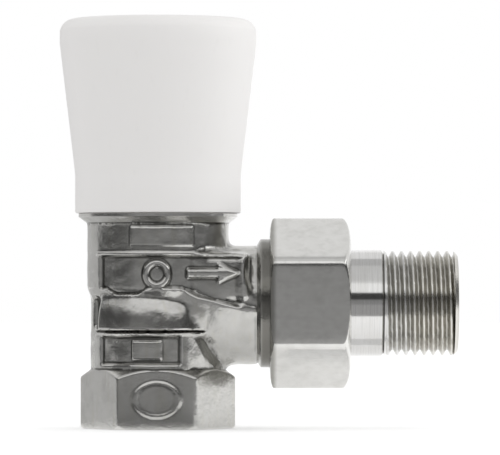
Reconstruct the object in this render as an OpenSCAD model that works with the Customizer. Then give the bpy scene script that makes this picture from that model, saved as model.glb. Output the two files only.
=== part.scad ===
// Angle lockshield valve for a radiator, with its headwork, union and pull-off cap.
// +Z runs up the valve axis and +X along the outlet. The origin is the centre of the
// inlet mouth, on the bottom face. Screw threads are plain cylinders at one diameter.

/* [Overall] */
// Height of the outlet axis above the bottom face
outlet_height = 25; // [24:0.5:34]
// Distance from the valve axis to the free end of the tail
reach = 60; // [56:1:80]
// Height of the body's top face above the outlet axis
upper_height = 18; // [17:0.5:26]
// Distance from the valve axis to the near end of the union nut
neck_length = 22.4; // [21:0.2:30]

/* [Inlet] */
// Width across the flats of the inlet hexagon
inlet_hex_af = 27; // [26:0.5:34]
// Height of the inlet hexagon at the middle of a flat
inlet_hex_height = 11.6; // [9:0.2:12]
// Minor diameter of the inlet pipe thread
inlet_thread_d = 18.63; // [15:0.01:20]
// Length of the cone between the inlet pipe thread and the floor above it
inlet_runout = 1; // [0.4:0.1:3]

/* [Body] */
// Diameter of the chamber around the plug
chamber_d = 20; // [18.5:0.5:21]
// Wall of the forging around the chamber
body_wall = 2.9; // [2.4:0.1:4]
// How much the column under the cap stands out past the waist
column_step = 1.25; // [0.8:0.05:2.5]
// Thickness of the wall under the chamber
floor_wall = 3.2; // [2:0.2:4]
// Diameter of the seat bore
seat_bore_d = 11; // [9:0.5:12]
// Width of the seat lip
seat_lip_width = 1.4; // [0.8:0.1:1.8]
// Diameter of the outlet passage
outlet_bore_d = 14; // [12.5:0.5:15]
// Outside diameter of the outlet neck
neck_d = 23.1; // [20:0.1:25]
// How much the collar at the top of the body stands out past the column
collar_step = 1.85; // [1:0.05:4]

/* [Headwork] */
// How much wider than the chamber the headwork thread is, on the radius
bonnet_thread_step = 1; // [0.4:0.1:1.6]
// Length of the headwork inside the body
bonnet_depth = 8.8; // [7:0.2:9]
// Width across the flats of the headwork hexagon
bonnet_hex_af = 22; // [21:0.5:24]
// Height of the headwork hexagon
bonnet_hex_height = 6; // [4:0.5:8]
// Diameter of the headwork neck that carries the cap
bonnet_neck_d = 17; // [16:0.1:18]
// Width across the flats of the gland nut
gland_hex_af = 14; // [11:0.5:14.5]
// Diameter of the packing chamber
packing_d = 13; // [11:0.5:13.5]
// Thickness of one packing ring
packing_ring_t = 1.4; // [1:0.1:2]

/* [Spindle and plug] */
// Diameter of the spindle thread
spindle_thread_d = 12; // [10:0.5:13]
// Diameter of the spindle stem
stem_d = 8; // [6.5:0.5:8.5]
// Width across the flats of the square drive end
drive_af = 6; // [5:0.5:7]
// Length of the square drive end
drive_length = 7; // [5:0.5:9]
// Rise of the plug from shut to fully open
lift = 4.5; // [3:0.1:5]
// Diameter of the plug's disc
plug_d = 15.8; // [14.5:0.1:17]
// Thickness of the seat seal
seal_t = 2; // [1.2:0.1:3]

/* [Union] */
// Wall of the union nut between its thread and a flat
nut_wall = 1.78; // [1.2:0.01:4]
// Length of the union nut
nut_length = 16.2; // [14:0.2:20]
// Diameter of the union thread
union_thread_d = 26.44; // [25:0.01:28]
// Length of union thread covered by the nut
union_engagement = 8.8; // [7:0.2:10]
// Diameter of the outlet pipe thread
outlet_thread_d = 20.955; // [19:0.005:21.5]
// Length of the outlet pipe thread
outlet_thread_length = 14.8; // [12:0.2:16]
// Diameter of the plain stretch of the tail
tail_d = 21.3; // [20:0.1:22]
// Diameter of the bore of the tail
tail_bore_d = 13.8; // [13:0.1:15]
// Width across the flats of the key socket in the tail
tail_key_af = 12; // [10:0.5:12.5]
// Depth of the key socket in the tail
tail_key_depth = 10; // [6:0.5:14]

/* [Cap] */
// How much the cap's mouth stands out past the collar
cap_overhang = 0.6; // [0:0.1:3]
// Diameter of the cap at its top
cap_top_d = 39.5; // [38:0.5:46]
// Height of the cap
cap_height = 38.8; // [38:0.2:50]
// Height of the straight band at the cap's mouth
cap_band = 7.8; // [3:0.2:10]
// Wall of the cap
cap_wall = 1.7; // [1.2:0.1:2]
// Radius of the cap's top edge
cap_edge_r = 3; // [2:0.5:6]
// Number of stiffening ribs inside the cap
cap_ribs = 8; // [4:1:12]

/* [Fits] */
// Radial clearance of screw threads and turning shafts
thread_clear = 0.05; // [0.02:0.01:0.09]
// Gap between parts that only pass each other
free_gap = 0.2; // [0.1:0.05:0.3]

/* [Hidden] */
$fn = 96;
over = 1; // how far a cut runs past the face it leaves through

// body heights
top_z = outlet_height + upper_height;
seat_z = outlet_height - outlet_bore_d / 2 + 1;
floor_z = seat_z - 1.4;
pocket_z = floor_z - floor_wall;
mouth_chamfer = 0.4;
waist_r = chamber_d / 2 + body_wall;
column_r = waist_r + column_step;
collar_r = column_r + collar_step;
lower_r = waist_r + 0.4;
neck_r = neck_d / 2;
foot_chamfer = 0.3;
hex_slope = 0.75; // height lost for each millimetre out over the crown of the inlet hexagon
elbow_swell = 0.7; // how far the elbow stands out of the neck at its end
elbow_taper = 0.55; // how much wider the elbow is where it leaves the column
elbow_rise = 1; // how far the elbow reaches above the outlet axis
web_half = neck_r + 0.45;
web_rise = 9.6;
bar_r = 3.6;
bar_drop = 1.8; // how far the bar's axis lies below the outlet axis
bar_rise = 0.6; // how far the bar stands out of the waist
ledge = 0.8; // axial length of the small slopes between the column's stretches
waist_low_z = seat_z + 0.4;
waist_high_z = outlet_height + 1.4;
collar_t = 0.7;

// headwork heights
bonnet_thread_r = chamber_d / 2 + bonnet_thread_step;
bonnet_low_z = top_z - bonnet_depth;
bonnet_flange_r = bonnet_thread_r + 2;
bonnet_flange_t = 1.5;
bonnet_hex_z = top_z + bonnet_flange_t;
neck_z = bonnet_hex_z + bonnet_hex_height;
piston_top_z = top_z + 1.5;
back_washer_t = 0.8;
guide_top_z = piston_top_z + back_washer_t + lift + 0.1;
packing_z = guide_top_z + 1.5;
gland_washer_z = packing_z + 2 * packing_ring_t;
gland_washer_t = 0.8;
gland_z = gland_washer_z + gland_washer_t;
gland_thread_length = 4.3;
gland_head_z = gland_z + gland_thread_length;
gland_head_t = 3.1;
gland_top_z = gland_head_z + gland_head_t;
neck_top_z = gland_head_z - 0.3;
o_ring_r = 0.6;
o_ring_z = top_z - 2.6;
groove_extra = 0.02; // how far a groove's floor lies inside its ring
wiper_t = 1.3;
wiper_wall = 1.35;
soft_clear = 0.03; // radial clearance of packing and wiper on the stem

// spindle and plug heights, with the plug shut
plug_disc_z = seat_z + seal_t;
plug_disc_t = 3;
hub_z = plug_disc_z + plug_disc_t;
hub_length = 7;
hub_d = spindle_thread_d - 1;
skirt_t = 0.6;
skirt_depth = 1.2;
socket_z = hub_z + 0.5;
button_length = 3;
clip_z = socket_z + button_length + 0.5;
clip_t = 0.8;
pin_r = hub_d / 2 - 2;
clip_inner_r = pin_r - 1;
thread_low_z = bonnet_low_z + 0.4;
piston_low_z = piston_top_z - 3.5;
stem_top_z = gland_top_z + 0.6;
spindle_ring_r = 0.45;
screw_r = 2;
screw_head_r = 3.2;
screw_head_t = 1.9;
screw_slot = 0.8;
cone_length = 2.6;
cone_draft = 0.9;
cone_gap = 0.3; // gap between the throttle cone and the seat bore
plug_washer_r = 3.5;
plug_washer_t = 0.6;

// union places along the outlet axis
nut_end = neck_length + nut_length;
spigot_start = neck_length - 0.8;
spigot_end = neck_length + union_engagement;
union_r = union_thread_d / 2;
nut_af = union_thread_d + 2 * nut_wall;
nut_near_chamfer = [1.2, 3.7]; // along the axis, and on the radius from the corners
nut_far_chamfer = [2.6, 4.4];
nut_edge = 0.1; // what the corners lose to their rounding
face_gap = 0.05; // gap between two faces that are drawn together
tail_collar_r = union_r - 0.3;
tail_chamfer = 0.8;
collar_face = spigot_end + 0.1;
nut_shoulder = nut_end - 3.2;
cone_slope = 0.9; // radius lost for each millimetre into the cone of the union seat
seat_cone_r = union_r - 2.2;
nose_length = 2.8;
tail_ring_r = 0.55;
tail_ring_x = spigot_end - 1.3;
nose_r = seat_cone_r - 0.1;
tail_ring_mid_r = nose_r - cone_slope * (spigot_end - tail_ring_x) - 0.68;

// cap heights
cap_z = top_z + free_gap;
cap_top_z = cap_z + cap_height;
cap_mouth_r = collar_r + cap_overhang;
cap_top_r = cap_top_d / 2;
cap_shoulder_z = cap_top_z - cap_edge_r - 1.5;
grip_t = 1.5;
grip_z = gland_head_z - 0.4;
grip_clear = 0.1;
snap_t = 1.2;
insert_low_z = neck_z + 1;
insert_r = bonnet_neck_d / 2 + 0.1;
insert_wall = 1.6;
slit_w = 1.2;
rib_t = 1;
rib_depth = 1.4;

// radius of the outside of the cap at a height
function cap_r(z) =
    z < cap_z + cap_band ? cap_mouth_r :
    z > cap_shoulder_z ? cap_top_r :
    cap_mouth_r + (cap_top_r - cap_mouth_r) * (z - cap_z - cap_band) / (cap_shoulder_z - cap_z - cap_band);

grip_r = cap_r(grip_z) - cap_wall - 0.7;

// a plain ring on the valve axis
module ring(z, height, inner, outer) {
    translate([0, 0, z])
        difference() {
            cylinder(r = outer, h = height);
            translate([0, 0, -over]) cylinder(r = inner, h = height + 2 * over);
        }
}

// a ring of round section on the valve axis
module o_ring(z, middle, section) {
    translate([0, 0, z]) rotate_extrude() translate([middle, 0]) circle(r = section, $fn = 32);
}

// a hexagonal bar on the valve axis, with a corner along X
module hex_bar(flats, height) {
    cylinder(r = flats / sqrt(3), h = height, $fn = 6);
}

// turns what stands on the valve axis to lie along the outlet axis
module on_outlet(x = 0) {
    translate([x, 0, outlet_height]) rotate([0, 90, 0]) children();
}

module inlet_hex() {
    corner = inlet_hex_af / sqrt(3);
    drop = (corner - inlet_hex_af / 2) * hex_slope;
    intersection() {
        hex_bar(inlet_hex_af, inlet_hex_height + over);
        rotate_extrude()
            polygon([
                [0, 0], [corner - foot_chamfer, 0], [corner, foot_chamfer], [corner, inlet_hex_height - drop],
                [lower_r - 1, inlet_hex_height + (corner - lower_r + 1) * hex_slope - drop], [0, inlet_hex_height]
            ]);
    }
}

module column() {
    rotate_extrude()
        polygon([
            [0, inlet_hex_height - over], [lower_r, inlet_hex_height - over],
            [lower_r, waist_low_z - ledge / 2], [waist_r, waist_low_z + ledge / 2],
            [waist_r, waist_high_z], [column_r, waist_high_z + ledge * 1.8],
            [column_r, top_z - collar_t - ledge], [collar_r, top_z - collar_t],
            [collar_r, top_z], [0, top_z]
        ]);
}

module neck() {
    on_outlet()
        rotate_extrude()
            polygon([
                [0, 0], [neck_r, 0], [neck_r, spigot_start - 2], [union_r, spigot_start],
                [union_r, spigot_end - 0.5], [union_r - 0.5, spigot_end], [0, spigot_end]
            ]);
}

// the rounded bar across the front and back of the waist, where the inner wall turns
module waist_bar() {
    intersection() {
        for (side = [-1, 1])
            translate([-waist_r, side * (waist_r - bar_r + bar_rise), outlet_height - bar_drop])
                rotate([0, 90, 0])
                    cylinder(r = bar_r, h = 2 * waist_r);
        translate([0, 0, floor_z]) cylinder(r = waist_r + 0.5, h = 2 * bar_r + 3);
    }
}

// the lower half of the round elbow that runs from the seat to the neck
module elbow() {
    end_r = neck_r + elbow_swell;
    start_r = end_r + elbow_taper;
    intersection() {
        on_outlet() cylinder(r1 = start_r, r2 = end_r, h = spigot_start - 2);
        translate([-over, -start_r - over, outlet_height - start_r - over])
            cube([spigot_start, 2 * (start_r + over), start_r + over + elbow_rise]);
    }
}

// the flat-sided web between the column and the neck
module web() {
    translate([0, -web_half, outlet_height])
        cube([spigot_start - 3, 2 * web_half, web_rise]);
}

module inlet_way() {
    thread_top_z = pocket_z - inlet_runout;
    translate([0, 0, -over]) cylinder(d = inlet_thread_d, h = thread_top_z + over);
    translate([0, 0, -over])
        cylinder(
            r1 = inlet_thread_d / 2 + mouth_chamfer + over, r2 = inlet_thread_d / 2,
            h = mouth_chamfer + over
        );
    translate([0, 0, thread_top_z])
        cylinder(d1 = inlet_thread_d, d2 = inlet_thread_d - 2, h = inlet_runout);
    cylinder(d = seat_bore_d, h = seat_z + over);
}

module chamber() {
    ring(floor_z, seat_z - floor_z + over, seat_bore_d / 2 + seat_lip_width, chamber_d / 2);
    translate([0, 0, seat_z]) cylinder(d = chamber_d, h = top_z - seat_z);
    translate([0, 0, bonnet_low_z - free_gap])
        cylinder(r = bonnet_thread_r, h = bonnet_depth + free_gap + over);
}

module outlet_way() {
    mouth_depth = (seat_cone_r - outlet_bore_d / 2) / cone_slope;
    on_outlet() cylinder(d = outlet_bore_d, h = spigot_end + over);
    on_outlet(spigot_end - mouth_depth)
        cylinder(d1 = outlet_bore_d, r2 = seat_cone_r + cone_slope * over, h = mouth_depth + over);
}

module valve_body() {
    color([0.68, 0.67, 0.65])
        difference() {
            union() {
                inlet_hex();
                column();
                neck();
                waist_bar();
                elbow();
                web();
            }
            inlet_way();
            chamber();
            outlet_way();
        }
}

module bonnet() {
    thread_r = bonnet_thread_r - thread_clear;
    color([0.78, 0.66, 0.38])
        difference() {
            union() {
                difference() {
                    translate([0, 0, bonnet_low_z]) cylinder(r = thread_r, h = bonnet_depth);
                    ring(o_ring_z - 0.75, 1.5, thread_r - 2 * o_ring_r - groove_extra, thread_r + over);
                }
                translate([0, 0, top_z]) cylinder(r = bonnet_flange_r, h = bonnet_flange_t);
                intersection() {
                    translate([0, 0, bonnet_hex_z]) hex_bar(bonnet_hex_af, bonnet_hex_height);
                    translate([0, 0, bonnet_hex_z])
                        cylinder(
                            r1 = bonnet_hex_af / sqrt(3) + bonnet_hex_height, r2 = bonnet_hex_af / 2 + 0.4,
                            h = bonnet_hex_height
                        );
                }
                translate([0, 0, neck_z]) cylinder(d = bonnet_neck_d, h = neck_top_z - neck_z);
            }
            translate([0, 0, bonnet_low_z - over])
                cylinder(d = spindle_thread_d, h = guide_top_z - bonnet_low_z + over);
            translate([0, 0, guide_top_z - over])
                cylinder(d = stem_d + 2 * thread_clear, h = packing_z - guide_top_z + 2 * over);
            translate([0, 0, packing_z]) cylinder(d = packing_d, h = neck_top_z - packing_z + over);
        }
}

module bonnet_o_ring() {
    color([0.08, 0.08, 0.08])
        o_ring(o_ring_z, bonnet_thread_r - thread_clear - o_ring_r, o_ring_r);
}

module gland_nut() {
    color([0.78, 0.66, 0.38])
        difference() {
            union() {
                translate([0, 0, gland_z])
                    cylinder(d = packing_d - 2 * thread_clear, h = gland_thread_length + 0.5);
                translate([0, 0, gland_head_z])
                    intersection() {
                        hex_bar(gland_hex_af, gland_head_t);
                        cylinder(
                            r1 = gland_hex_af / 2 + 2 * gland_head_t, r2 = gland_hex_af / 2 + 0.2,
                            h = gland_head_t
                        );
                    }
            }
            translate([0, 0, gland_z - over])
                cylinder(d = stem_d + 2 * thread_clear, h = gland_top_z - gland_z + 2 * over);
            translate([0, 0, gland_top_z - wiper_t - 0.1])
                cylinder(r = stem_d / 2 + wiper_wall + thread_clear, h = wiper_t + 0.1 + over);
        }
}

module gland_washer() {
    color([0.8, 0.7, 0.45])
        ring(gland_washer_z, gland_washer_t, stem_d / 2 + thread_clear, packing_d / 2 - thread_clear);
}

module gland_packing() {
    color([0.93, 0.93, 0.9])
        for (i = [0, 1])
            ring(
                packing_z + i * packing_ring_t, packing_ring_t - face_gap,
                stem_d / 2 + soft_clear, packing_d / 2 - thread_clear
            );
}

module wiper_ring() {
    color([0.08, 0.08, 0.08])
        ring(gland_top_z - wiper_t - 0.1, wiper_t, stem_d / 2 + soft_clear, stem_d / 2 + wiper_wall);
}

module spindle() {
    thread_r = spindle_thread_d / 2 - thread_clear;
    button_r = pin_r - thread_clear;
    color([0.8, 0.69, 0.4])
        difference() {
            union() {
                translate([0, 0, socket_z + 0.1]) cylinder(r = button_r, h = thread_low_z - socket_z);
                translate([0, 0, thread_low_z]) cylinder(r = thread_r, h = piston_top_z - thread_low_z);
                translate([0, 0, piston_top_z - over]) cylinder(d = stem_d, h = stem_top_z - piston_top_z + over);
                intersection() {
                    translate([-drive_af / 2, -drive_af / 2, stem_top_z - over])
                        cube([drive_af, drive_af, drive_length + over]);
                    translate([0, 0, stem_top_z - over])
                        cylinder(r1 = stem_d / 2 + drive_length, r2 = drive_af / 2, h = drive_length + over);
                    translate([0, 0, stem_top_z - 2 * over])
                        cylinder(r = stem_d / 2 - 0.01, h = drive_length + 3 * over);
                }
            }
            ring(clip_z - 0.1, clip_t + 0.2, clip_inner_r - 0.05, pin_r + over);
            for (z = [piston_low_z + 1.1, piston_top_z - 1.1])
                ring(z - 0.5, 1, thread_r - 2 * spindle_ring_r - groove_extra, thread_r + over);
        }
}

module spindle_o_rings() {
    color([0.08, 0.08, 0.08])
        for (z = [piston_low_z + 1.1, piston_top_z - 1.1])
            o_ring(z, spindle_thread_d / 2 - thread_clear - spindle_ring_r, spindle_ring_r);
}

module back_seat_washer() {
    color([0.93, 0.93, 0.9])
        ring(piston_top_z, back_washer_t, stem_d / 2 + thread_clear, spindle_thread_d / 2 - 2 * thread_clear);
}

module plug() {
    color([0.8, 0.69, 0.4])
        difference() {
            union() {
                translate([0, 0, plug_disc_z]) cylinder(d = plug_d, h = plug_disc_t);
                ring(plug_disc_z - skirt_depth, skirt_depth + 0.5, plug_d / 2 - skirt_t, plug_d / 2);
                translate([0, 0, hub_z - 0.5]) cylinder(d = hub_d, h = hub_length + 0.5);
            }
            translate([0, 0, socket_z]) cylinder(r = pin_r, h = hub_length + over);
            translate([0, 0, plug_disc_z - over]) cylinder(r = screw_r + thread_clear, h = plug_disc_t + over);
            translate([-hub_d, -hub_d, clip_z - 0.05])
                cube([2 * hub_d, hub_d + clip_inner_r, clip_t + 0.1]);
        }
}

// a fork that slides into the hub and the groove of the spindle
module plug_clip() {
    color([0.72, 0.72, 0.74])
        translate([0, 0, clip_z])
            intersection() {
                difference() {
                    cylinder(r = hub_d / 2 - 0.1, h = clip_t);
                    translate([0, 0, -over]) cylinder(r = clip_inner_r, h = clip_t + 2 * over);
                    translate([-clip_inner_r, 0, -over])
                        cube([2 * clip_inner_r, hub_d, clip_t + 2 * over]);
                }
                translate([-hub_d, -hub_d, -over])
                    cube([2 * hub_d, hub_d + clip_inner_r - 0.1, clip_t + 2 * over]);
            }
}

module plug_seal() {
    color([0.1, 0.1, 0.1])
        ring(seat_z, seal_t, screw_r + thread_clear, plug_d / 2 - skirt_t - thread_clear);
}

module throttle_cone() {
    cone_r = seat_bore_d / 2 - cone_gap;
    color([0.8, 0.69, 0.4])
        translate([0, 0, seat_z - cone_length])
            difference() {
                cylinder(r1 = cone_r - cone_draft, r2 = cone_r, h = cone_length);
                translate([0, 0, -over]) cylinder(r = screw_r + thread_clear, h = cone_length + 2 * over);
            }
}

module plug_washer() {
    color([0.72, 0.72, 0.74])
        ring(seat_z - cone_length - plug_washer_t, plug_washer_t, screw_r + thread_clear, plug_washer_r);
}

module plug_screw() {
    head_z = seat_z - cone_length - plug_washer_t - screw_head_t;
    color([0.72, 0.72, 0.74])
        difference() {
            union() {
                translate([0, 0, head_z]) cylinder(r = screw_head_r, h = screw_head_t);
                translate([0, 0, head_z + 0.5])
                    cylinder(r = screw_r, h = plug_disc_z + plug_disc_t - free_gap - head_z - 0.5);
            }
            translate([-screw_head_r - over, -screw_slot / 2, head_z - over])
                cube([2 * (screw_head_r + over), screw_slot, over + screw_slot]);
        }
}

module union_nut() {
    corner_r = nut_af / sqrt(3) - nut_edge;
    color([0.7, 0.69, 0.67])
        on_outlet(neck_length)
            difference() {
                intersection() {
                    hex_bar(nut_af, nut_length);
                    rotate_extrude()
                        polygon([
                            [0, 0], [corner_r - nut_near_chamfer[1], 0], [corner_r, nut_near_chamfer[0]],
                            [corner_r, nut_length - nut_far_chamfer[0]],
                            [corner_r - nut_far_chamfer[1], nut_length], [0, nut_length]
                        ]);
                }
                translate([0, 0, -over])
                    cylinder(r = union_r + thread_clear, h = nut_shoulder - neck_length + over);
                translate([0, 0, -over]) cylinder(r = tail_d / 2 + 0.3, h = nut_length + 2 * over);
            }
}

module tailpiece() {
    thread_r = outlet_thread_d / 2;
    nose_tip_r = nose_r - cone_slope * nose_length;
    thread_start = reach - outlet_thread_length;
    color([0.75, 0.74, 0.72])
        difference() {
            on_outlet()
                rotate_extrude()
                    polygon([
                        [0, spigot_end - nose_length], [nose_tip_r, spigot_end - nose_length],
                        [nose_r, spigot_end], [nose_r, collar_face], [tail_collar_r, collar_face],
                        [tail_collar_r, nut_shoulder - face_gap], [tail_d / 2, nut_shoulder - face_gap],
                        [tail_d / 2, thread_start], [thread_r, thread_start],
                        [thread_r, reach - tail_chamfer], [thread_r - tail_chamfer, reach], [0, reach]
                    ]);
            on_outlet(tail_ring_x)
                ring(-0.6, 1.2, tail_ring_mid_r - tail_ring_r - groove_extra, union_r);
            on_outlet(spigot_end - nose_length - over)
                cylinder(d = tail_bore_d, h = reach - tail_key_depth - spigot_end + nose_length + over);
            on_outlet(reach - tail_key_depth - over) hex_bar(tail_key_af, tail_key_depth + 2 * over);
            on_outlet(reach - 0.6) cylinder(d1 = tail_key_af, d2 = tail_bore_d + 1.4, h = 0.6 + over);
        }
}

module tail_o_ring() {
    color([0.08, 0.08, 0.08])
        on_outlet(tail_ring_x) o_ring(0, tail_ring_mid_r, tail_ring_r);
}

// the grip that pushes on the headwork neck and lets the cap spin round it
module cap_insert() {
    slits = 4;
    tube_top = grip_z + grip_t;
    color([0.55, 0.56, 0.58])
        difference() {
            union() {
                translate([0, 0, insert_low_z])
                    cylinder(r = insert_r + insert_wall, h = tube_top - insert_low_z);
                translate([0, 0, grip_z]) cylinder(r = grip_r, h = grip_t);
            }
            translate([0, 0, insert_low_z - over])
                cylinder(r = insert_r, h = tube_top - insert_low_z + 2 * over);
            for (i = [0 : slits / 2 - 1])
                rotate([0, 0, 45 + i * 360 / slits])
                    translate([-insert_r - insert_wall - over, -slit_w / 2, insert_low_z - over])
                        cube([2 * (insert_r + insert_wall + over), slit_w, grip_z - insert_low_z - 1 + over]);
        }
}

// half section of the space inside the cap, shrunk from the outside by a wall
module cap_section(wall, low, top) {
    edge = max(cap_edge_r - wall, 0.5);
    outer = cap_top_r - wall;
    union() {
        polygon([
            [0, low], [cap_mouth_r - wall, low], [cap_mouth_r - wall, cap_z + cap_band],
            [outer, cap_shoulder_z], [outer, top - edge], [outer - edge, top], [0, top]
        ]);
        translate([outer - edge, top - edge]) circle(r = edge, $fn = 64);
    }
}

module lockshield_cap() {
    rib_low = grip_z + grip_t + grip_clear + snap_t;
    color([0.93, 0.93, 0.92])
        union() {
            difference() {
                rotate_extrude() cap_section(0, cap_z, cap_top_z);
                rotate_extrude() cap_section(cap_wall, cap_z - over, cap_top_z - cap_wall - 0.1);
            }
            for (z = [grip_z - grip_clear - snap_t, grip_z + grip_t + grip_clear])
                ring(z, snap_t, grip_r - 0.6, cap_r(z) - cap_wall / 2);
            intersection() {
                rotate_extrude() cap_section(cap_wall / 2, cap_z, cap_top_z - cap_wall / 2);
                for (i = [0 : cap_ribs - 1])
                    rotate([0, 0, i * 360 / cap_ribs])
                        translate([cap_r(rib_low) - cap_wall - rib_depth, -rib_t / 2, rib_low - free_gap])
                            cube([cap_top_r, rib_t, cap_top_z - rib_low]);
            }
        }
}

valve_body();
bonnet();
bonnet_o_ring();
gland_nut();
gland_washer();
gland_packing();
wiper_ring();
spindle();
spindle_o_rings();
back_seat_washer();
plug();
plug_clip();
plug_seal();
throttle_cone();
plug_washer();
plug_screw();
union_nut();
tailpiece();
tail_o_ring();
cap_insert();
lockshield_cap();
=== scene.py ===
import bpy
import bmesh
from math import sin, cos, pi, radians, sqrt, atan2, hypot
import numpy as np
from mathutils import Matrix, Vector, noise


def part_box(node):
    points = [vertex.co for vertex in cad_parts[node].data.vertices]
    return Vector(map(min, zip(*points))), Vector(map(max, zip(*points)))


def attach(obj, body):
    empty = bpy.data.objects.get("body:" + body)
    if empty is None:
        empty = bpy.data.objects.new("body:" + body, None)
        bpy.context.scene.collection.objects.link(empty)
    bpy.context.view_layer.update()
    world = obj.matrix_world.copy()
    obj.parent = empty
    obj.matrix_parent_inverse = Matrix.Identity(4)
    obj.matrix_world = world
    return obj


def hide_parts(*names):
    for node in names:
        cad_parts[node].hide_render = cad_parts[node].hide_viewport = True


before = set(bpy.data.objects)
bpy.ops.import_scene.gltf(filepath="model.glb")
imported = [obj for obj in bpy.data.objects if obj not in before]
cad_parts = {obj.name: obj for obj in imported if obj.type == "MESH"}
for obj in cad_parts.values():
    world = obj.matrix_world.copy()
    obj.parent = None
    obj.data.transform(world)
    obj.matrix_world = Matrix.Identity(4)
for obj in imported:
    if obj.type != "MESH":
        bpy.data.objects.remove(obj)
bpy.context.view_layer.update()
print("frame loaded:", len(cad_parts), "nodes")

# pieces are modelled in millimetres and brought to metres when they are finished
perMetre = 1000.0
pipePitch = 1.814    # of the inlet, union and tail threads


def lathe(points, segments=128, alongOutlet=None):
    # spins a closed profile of (radius, height) round Z
    # alongOutlet gives the height of the axis of a piece that lies along X
    bm = bmesh.new()
    verts = [bm.verts.new((max(r, 0.0), 0, h)) for r, h in points]
    edges = [bm.edges.new((a, b)) for a, b in zip(verts, verts[1:] + verts[:1])]
    bmesh.ops.spin(bm, geom=verts + edges, cent=(0, 0, 0), axis=(0, 0, 1), angle=2 * pi,
                   steps=segments, use_merge=True)
    bmesh.ops.remove_doubles(bm, verts=bm.verts, dist=1e-4)
    bmesh.ops.dissolve_degenerate(bm, edges=bm.edges, dist=1e-5)
    bmesh.ops.recalc_face_normals(bm, faces=bm.faces)
    if alongOutlet is not None:
        layAlongOutlet(bm, alongOutlet)
    return bm


def layAlongOutlet(bm, height):
    turned = Matrix.Translation((0, 0, height)) @ Matrix.Rotation(pi / 2, 4, "Y")
    bmesh.ops.transform(bm, matrix=turned, verts=bm.verts)


def tight(points, gap=0.12):
    # adds a point close to each end of every long stretch, so that shading stays crisp at the corners
    out = []
    for (r1, h1), (r2, h2) in zip(points, points[1:]):
        out.append((r1, h1))
        length = hypot(r2 - r1, h2 - h1)
        if length > 4 * gap:
            for t in (gap / length, 1 - gap / length):
                out.append((r1 + (r2 - r1) * t, h1 + (h2 - h1) * t))
    return out + [points[-1]]


def arc(centre, radius, start, end, steps):
    # points of a circular arc in a profile, angles in degrees
    angles = [radians(start + (end - start) * i / steps) for i in range(steps + 1)]
    return [(centre[0] + radius * cos(a), centre[1] + radius * sin(a)) for a in angles]


def addBlock(bm, centre, size, turn=0.0):
    # a block that is placed, and then turned round Z
    verts = bmesh.ops.create_cube(bm, size=1.0)["verts"]
    place = Matrix.Rotation(turn, 4, "Z") @ Matrix.Translation(centre)
    bmesh.ops.transform(bm, matrix=place @ Matrix.Diagonal((*size, 1)), verts=verts)


def meshObject(bm, name):
    mesh = bpy.data.meshes.new(name)
    bm.to_mesh(mesh)
    bm.free()
    made = bpy.data.objects.new(name, mesh)
    bpy.context.scene.collection.objects.link(made)
    return made


def applyModifiers(made):
    bpy.context.view_layer.update()
    graph = bpy.context.evaluated_depsgraph_get()
    mesh = bpy.data.meshes.new_from_object(made.evaluated_get(graph))
    made.modifiers.clear()
    made.data = mesh
    return made


def combine(made, other, operation):
    # Boolean of two objects; the second one is used up
    mod = made.modifiers.new("combine", "BOOLEAN")
    mod.operation = operation
    mod.solver = "EXACT"
    mod.object = other
    applyModifiers(made)
    bpy.data.objects.remove(other)
    return made


def clean(made, nearest=0.003):
    # drops the slivers that Booleans leave behind
    bm = bmesh.new()
    bm.from_mesh(made.data)
    bmesh.ops.remove_doubles(bm, verts=bm.verts, dist=nearest)
    bmesh.ops.dissolve_degenerate(bm, edges=bm.edges, dist=nearest)
    bm.to_mesh(made.data)
    bm.free()
    return made


def markRelief(mesh, passes=2, largest=0.4, limit=1.6):
    # stores the curvature of a finely meshed surface: above 0 on edges, below 0 in hollows
    count = len(mesh.vertices)

    def read(source, key, width=1):
        whole = key in ("vertices", "vertex_index", "loop_total")
        values = np.empty(len(source) * width, int if whole else float)
        source.foreach_get(key, values)
        return values.reshape(-1, width) if width > 1 else values

    places = read(mesh.vertices, "co", 3)
    normals = read(mesh.vertex_normals, "vector", 3)
    a, b = read(mesh.edges, "vertices", 2).T
    along = places[b] - places[a]
    bend = ((normals[b] - normals[a]) * along).sum(1) / np.maximum((along ** 2).sum(1), 1e-4)
    near = np.maximum(np.bincount(a, minlength=count) + np.bincount(b, minlength=count), 1)

    def gather(atFirst, atSecond):
        # mean over the edges that meet at each point
        return (np.bincount(a, atFirst, count) + np.bincount(b, atSecond, count)) / near

    relief = np.clip(gather(bend, bend), -limit, limit)
    # points of large faces stay plain, so that nothing spreads over a flat
    big = np.repeat(read(mesh.polygons, "area") > largest, read(mesh.polygons, "loop_total"))
    plain = read(mesh.loops, "vertex_index")[big]
    for _ in range(passes):
        relief[plain] = 0
        relief = 0.5 * relief + 0.5 * gather(relief[b], relief[a])
    relief[plain] = 0
    stored = mesh.attributes.new("relief", "FLOAT", "POINT")
    stored.data.foreach_set("value", relief.astype(np.float32))


def softHexagon(angle, flats, power):
    # distance from the axis to a hexagon with rounded corners; a corner lies at angle 0
    total = 0.0
    for k in range(6):
        facing = cos(angle - radians(30 + 60 * k))
        if facing > 0:
            total += (facing * 2 / flats) ** power
    return total ** (-1 / power)


def softLeast(first, second, power):
    return (first ** -power + second ** -power) ** (-1 / power)


def drawIn(v, wanted):
    # moves a point to the wanted distance from the axis
    r = hypot(v.co.x, v.co.y)
    v.co.x, v.co.y = v.co.x * wanted / r, v.co.y * wanted / r


def rise(a, b, value):
    # 0 below a, 1 above b, smooth between
    t = min(max((value - a) / (b - a), 0.0), 1.0)
    return t * t * (3 - 2 * t)


def window(value, span, soft):
    # 1 inside the span, 0 outside it
    low, high = span
    opened = rise(low - soft / 2, low + soft / 2, value)
    return opened * (1 - rise(high - soft / 2, high + soft / 2, value))


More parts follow.
